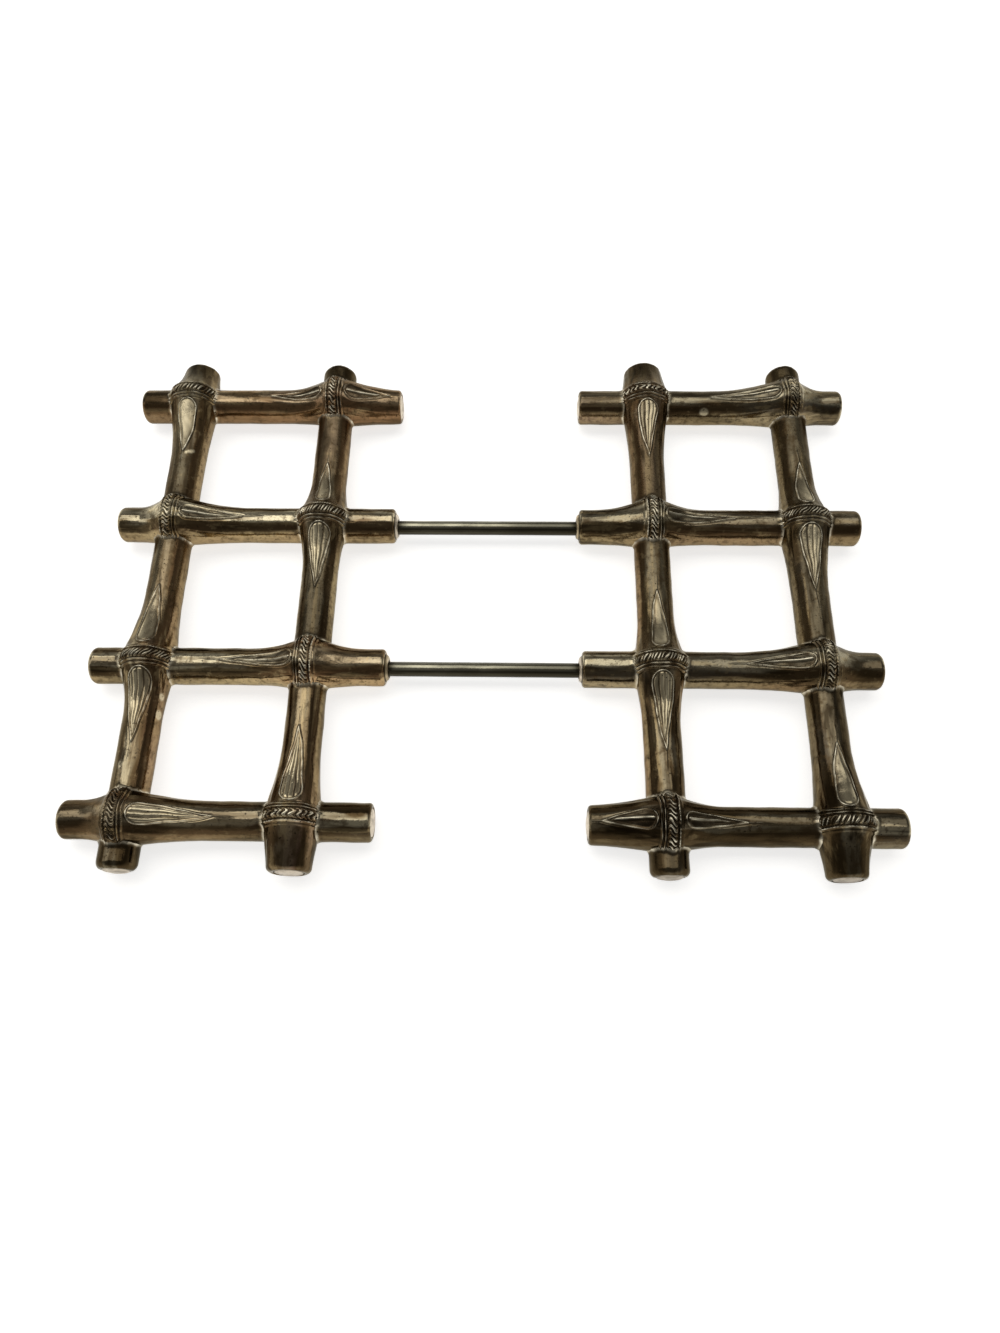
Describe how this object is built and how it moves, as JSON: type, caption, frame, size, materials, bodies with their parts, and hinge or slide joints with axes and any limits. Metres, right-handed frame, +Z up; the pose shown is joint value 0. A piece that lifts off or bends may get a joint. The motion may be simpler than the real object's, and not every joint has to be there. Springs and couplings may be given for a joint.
{
  "type": "expandable trivet",
  "caption": "Expandable trivet in silver-plated bamboo form: open lattices of hollow canes with ringed nodes slide apart on rods to carry a larger hot dish.",
  "frame": {"origin": "on the table, under the middle of the opened trivet", "axes": "+X is the way the lattices slide apart, from the left half to the right half, +Y runs along the long canes away from the viewer of the picture, and +Z is up"},
  "size_m": [0.2612, 0.1922, 0.0196],
  "materials": {
    "cane_plate": "silver plate, tarnished brown and gold, worn bright on the high places",
    "end_plate": "silver plate, dull and pale",
    "bush_brass": "dull brass",
    "rod_steel": "drawn steel, darkened, with a greenish cast"
  },
  "bodies": {
    "left_half": {"left_outer_long_cane_foot": "cane_plate", "left_outer_long_cane_middle": "cane_plate", "left_outer_long_cane_head": "cane_plate", "left_inner_long_cane_foot": "cane_plate", "left_inner_long_cane_middle": "cane_plate", "left_inner_long_cane_head": "cane_plate", "left_cross_cane_1_outer": "cane_plate", "left_cross_cane_1_inner": "cane_plate", "left_cross_cane_2_outer": "cane_plate", "left_cross_cane_2_inner": "cane_plate", "left_cross_cane_3_outer": "cane_plate", "left_cross_cane_3_inner": "cane_plate", "left_cross_cane_4_outer": "cane_plate", "left_cross_cane_4_inner": "cane_plate", "left_outer_long_cane_foot_cap": "end_plate", "left_outer_long_cane_head_cap": "end_plate", "left_inner_long_cane_foot_cap": "end_plate", "left_inner_long_cane_head_cap": "end_plate", "left_cross_cane_1_outer_cap": "end_plate", "left_cross_cane_1_inner_cap": "end_plate", "left_cross_cane_2_outer_cap": "end_plate", "left_cross_cane_3_outer_cap": "end_plate", "left_cross_cane_4_outer_cap": "end_plate", "left_cross_cane_4_inner_cap": "end_plate", "left_anchor_plug": "end_plate", "left_guide_bush": "bush_brass", "left_stop_head": "bush_brass", "left_slide_rod": "rod_steel"},
    "right_half": {"right_outer_long_cane_foot": "cane_plate", "right_outer_long_cane_middle": "cane_plate", "right_outer_long_cane_head": "cane_plate", "right_inner_long_cane_foot": "cane_plate", "right_inner_long_cane_middle": "cane_plate", "right_inner_long_cane_head": "cane_plate", "right_cross_cane_1_outer": "cane_plate", "right_cross_cane_1_inner": "cane_plate", "right_cross_cane_2_outer": "cane_plate", "right_cross_cane_2_inner": "cane_plate", "right_cross_cane_3_outer": "cane_plate", "right_cross_cane_3_inner": "cane_plate", "right_cross_cane_4_outer": "cane_plate", "right_cross_cane_4_inner": "cane_plate", "right_outer_long_cane_foot_cap": "end_plate", "right_outer_long_cane_head_cap": "end_plate", "right_inner_long_cane_foot_cap": "end_plate", "right_inner_long_cane_head_cap": "end_plate", "right_cross_cane_1_outer_cap": "end_plate", "right_cross_cane_1_inner_cap": "end_plate", "right_cross_cane_2_outer_cap": "end_plate", "right_cross_cane_3_outer_cap": "end_plate", "right_cross_cane_4_outer_cap": "end_plate", "right_cross_cane_4_inner_cap": "end_plate", "right_anchor_plug": "end_plate", "right_guide_bush": "bush_brass", "right_stop_head": "bush_brass", "right_slide_rod": "rod_steel"}
  },
  "joints": [
    {"name": "extension_slide", "type": "slide", "parent": "left_half", "child": "right_half", "axis": [1, 0, 0], "range_m": [-0.0623, 0]}
  ]
}
